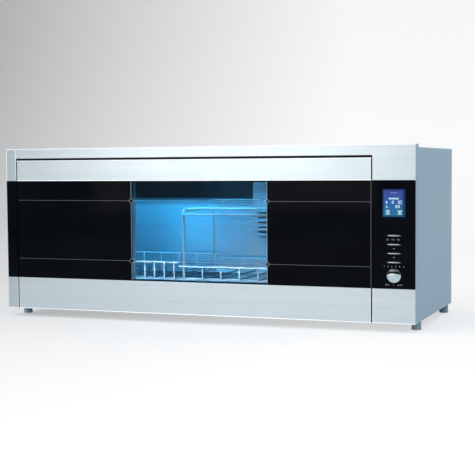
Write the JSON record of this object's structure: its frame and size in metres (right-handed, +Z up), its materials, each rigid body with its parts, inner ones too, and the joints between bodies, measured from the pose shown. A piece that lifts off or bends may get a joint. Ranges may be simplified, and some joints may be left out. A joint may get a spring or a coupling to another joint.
{
  "type": "dish dryer",
  "caption": "Free-standing hot-air dish dryer with a drop-down glass door, wire racks, a lamp and a column of keys with a round power button.",
  "frame": {"origin": "on the worktop, under the middle of the part's box", "axes": "+X to the right along the fascia, +Y back into the cabinet, +Z up"},
  "size_m": [0.9, 0.378, 0.363],
  "materials": {
    "stainless": "horizontally brushed stainless sheet",
    "case_paint": "blue-grey powder coat, fine texture",
    "chamber_steel": "satin stainless",
    "frame_black": "black enamel",
    "pane_tint": "blue-black tempered pane, printed outside the window",
    "pane_black": "glossy blue-black pane",
    "carrier_plastic": "moulded, matt",
    "display_glow": "backlit display",
    "key_chrome": "bright plated",
    "rack_wire": "plated wire",
    "rubber_dark": "matt",
    "seal_grey": "soft silicone",
    "board_green": "circuit board",
    "lamp_glass": "quartz tube",
    "reflector_alu": "bright rolled",
    "heater_alu": "finned",
    "fan_plastic": "glass-filled moulding",
    "hinge_steel": "zinc plated"
  },
  "bodies": {
    "cabinet": {"outer_wrap": "case_paint", "base_plate": "case_paint", "rear_panel": "case_paint", "front_frame": "frame_black", "chamber_wrap": "chamber_steel", "chamber_left_wall": "chamber_steel", "chamber_right_wall": "chamber_steel", "duct_cover": "chamber_steel", "top_rail": "stainless", "left_trim_upper": "stainless", "left_trim_lower": "stainless", "left_trim_band": "pane_black", "left_trim_carrier": "carrier_plastic", "column_upper": "stainless", "column_lower": "stainless", "control_panel": "pane_black", "column_carrier": "carrier_plastic", "display_lens": "display_glow", "display_module": "display_glow", "control_board": "board_green", "key_switches": "carrier_plastic", "power_board": "board_green", "lamp_ballast": "carrier_plastic", "fan_frame": "fan_plastic", "fan_spindle": "hinge_steel", "heater_housing": "chamber_steel", "heater_core": "heater_alu", "thermal_cutout": "carrier_plastic", "lamp_tube": "lamp_glass", "lamp_holders": "carrier_plastic", "lamp_reflector": "reflector_alu", "lower_rack": "rack_wire", "upper_rack": "rack_wire", "rack_supports": "chamber_steel", "drip_tray": "chamber_steel", "feet": "rubber_dark", "hinge_brackets": "hinge_steel", "hinge_bushes": "carrier_plastic", "door_damper": "carrier_plastic", "magnet_catches": "carrier_plastic", "cord_gland": "rubber_dark"},
    "door": {"door_glass": "pane_tint", "door_top_strip": "stainless", "door_bottom_strip": "stainless", "door_tray": "frame_black", "door_liner": "chamber_steel", "door_seal": "seal_grey", "hinge_blocks": "hinge_steel", "hinge_pins": "hinge_steel", "strike_plates": "hinge_steel"},
    "timer_key": {"timer_key": "key_chrome"},
    "up_key": {"up_key": "key_chrome"},
    "down_key": {"down_key": "key_chrome"},
    "mode_key": {"mode_key": "key_chrome"},
    "power_button": {"power_button": "key_chrome"},
    "fan": {"fan_impeller": "fan_plastic"}
  },
  "joints": [
    {"name": "door_hinge", "type": "hinge", "parent": "cabinet", "child": "door", "pos_m": [0, -0.1795, 0.026], "axis": [1, 0, 0], "range_deg": [0, 90]},
    {"name": "timer_press", "type": "slide", "parent": "cabinet", "child": "timer_key", "axis": [0, 1, 0], "range_m": [0, 0.001], "stiffness_N_per_m": 300, "springref_m": -0.001},
    {"name": "up_press", "type": "slide", "parent": "cabinet", "child": "up_key", "axis": [0, 1, 0], "range_m": [0, 0.001], "stiffness_N_per_m": 300, "springref_m": -0.001},
    {"name": "down_press", "type": "slide", "parent": "cabinet", "child": "down_key", "axis": [0, 1, 0], "range_m": [0, 0.001], "stiffness_N_per_m": 300, "springref_m": -0.001},
    {"name": "mode_press", "type": "slide", "parent": "cabinet", "child": "mode_key", "axis": [0, 1, 0], "range_m": [0, 0.001], "stiffness_N_per_m": 300, "springref_m": -0.001},
    {"name": "power_press", "type": "slide", "parent": "cabinet", "child": "power_button", "axis": [0, 1, 0], "range_m": [0, 0.001], "stiffness_N_per_m": 500, "springref_m": -0.001},
    {"name": "fan_spin", "type": "hinge", "parent": "cabinet", "child": "fan", "pos_m": [0.396, 0.064, 0.193], "axis": [1, 0, 0], "continuous": true}
  ]
}
